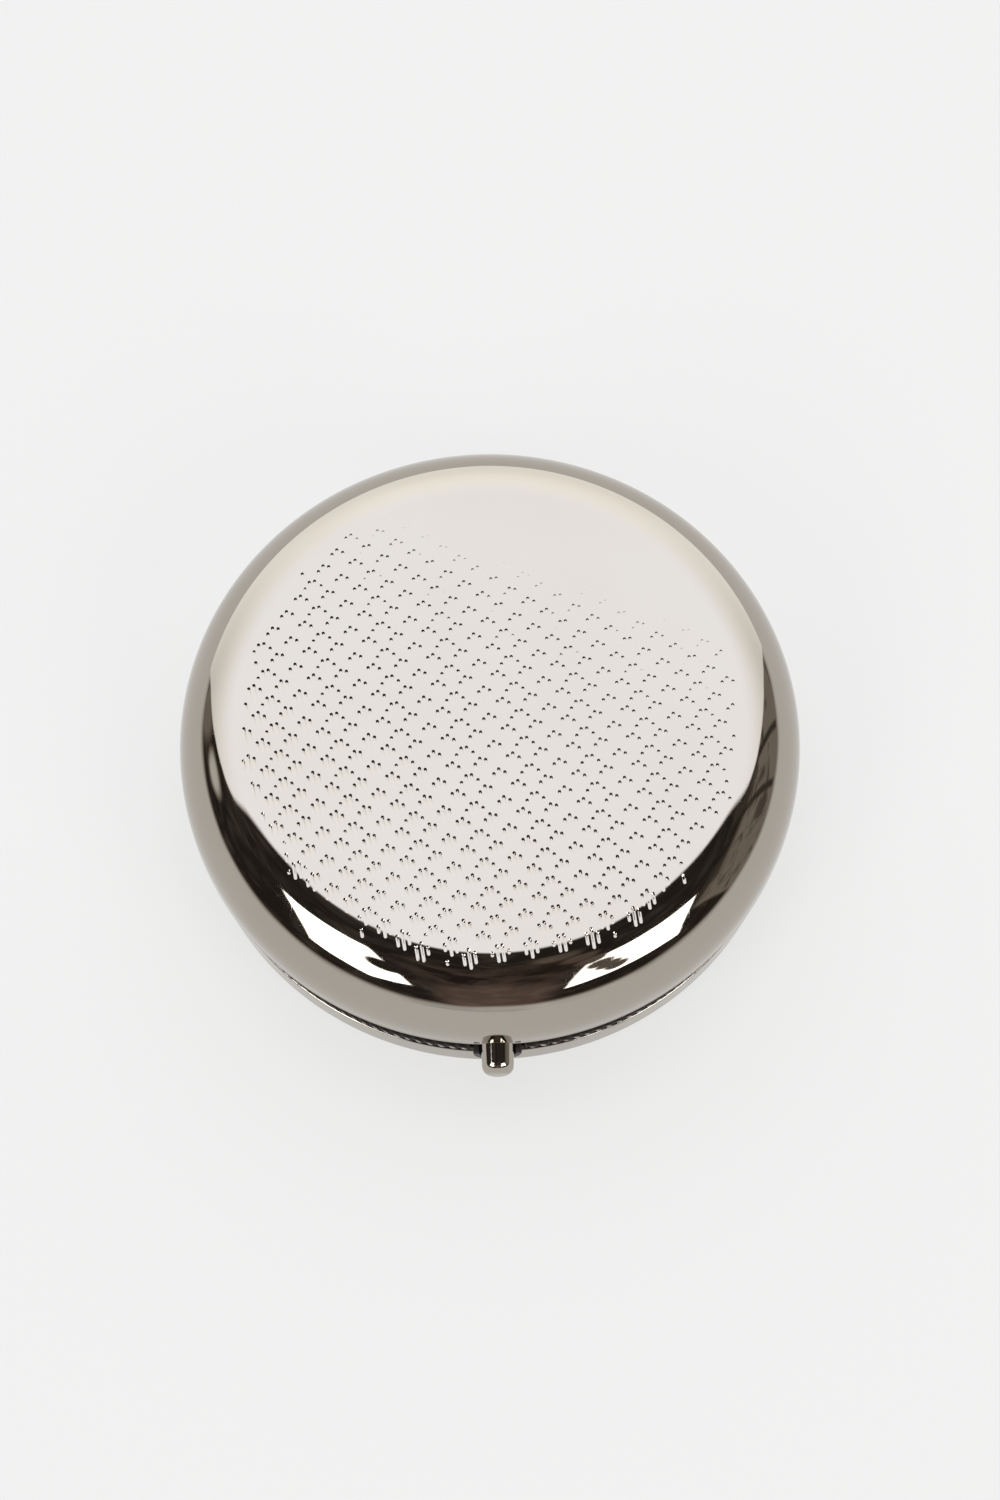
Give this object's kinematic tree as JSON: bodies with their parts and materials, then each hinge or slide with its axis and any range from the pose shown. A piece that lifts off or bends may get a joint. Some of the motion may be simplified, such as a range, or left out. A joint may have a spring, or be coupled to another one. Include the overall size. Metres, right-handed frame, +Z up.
{
  "type": "pill box",
  "caption": "Round push-button metal pill box: hinged patterned lid with a mirror inside, over a compartment tray in a shallow base.",
  "frame": {"origin": "on the box's axis, at the centre of its flat underside", "axes": "+Z up through the lid, -Y towards the push button, +Y towards the hinge, +X to the right seen from the button"},
  "size_m": [0.05, 0.0533, 0.016],
  "materials": {
    "plated_sheet": "bright polished nickel plate",
    "milled_plate": "bright plate over a milled bead",
    "hinge_steel": "plain nickel-plated stamping",
    "spring_steel": "bright spring steel",
    "guide_plastic": "black moulded",
    "tray_plastic": "off-white moulded, satin",
    "mirror_silver": "silvered glass",
    "pad_foam": "dark adhesive foam"
  },
  "bodies": {
    "base": {"base_shell": "plated_sheet", "base_neck_ring": "plated_sheet", "base_rim_band": "milled_plate", "base_hinge_leaf": "hinge_steel", "base_hinge_rivet_left": "hinge_steel", "base_hinge_rivet_right": "hinge_steel", "hinge_pin": "hinge_steel", "button_guide": "guide_plastic", "latch_bracket": "hinge_steel", "latch_rivet_left": "hinge_steel", "latch_rivet_right": "hinge_steel", "pill_tray": "tray_plastic"},
    "button": {"push_button": "plated_sheet", "button_clip": "spring_steel"},
    "latch": {"latch_spring": "spring_steel"},
    "lid": {"lid_shell": "plated_sheet", "lid_inner_ring": "plated_sheet", "mirror_pad": "pad_foam", "mirror_glass": "mirror_silver", "lid_hinge_leaf": "hinge_steel", "lid_catch": "hinge_steel"}
  },
  "joints": [
    {"name": "lid_hinge", "type": "hinge", "parent": "base", "child": "lid", "pos_m": [0, 0.02555, 0.0074], "axis": [-1, 0, 0], "range_deg": [0, 110]},
    {"name": "button_press", "type": "slide", "parent": "base", "child": "button", "axis": [0, 1, 0], "range_m": [0, 0.0008], "stiffness_N_per_m": 600},
    {"name": "latch_flex", "type": "hinge", "parent": "base", "child": "latch", "pos_m": [0, -0.0219, 0.0016], "axis": [-1, 0, 0], "range_deg": [0, 8.5]}
  ],
  "couplings": [
    {"joint": "latch_flex", "follows": "button_press", "rad_per_m": 181.8}
  ]
}
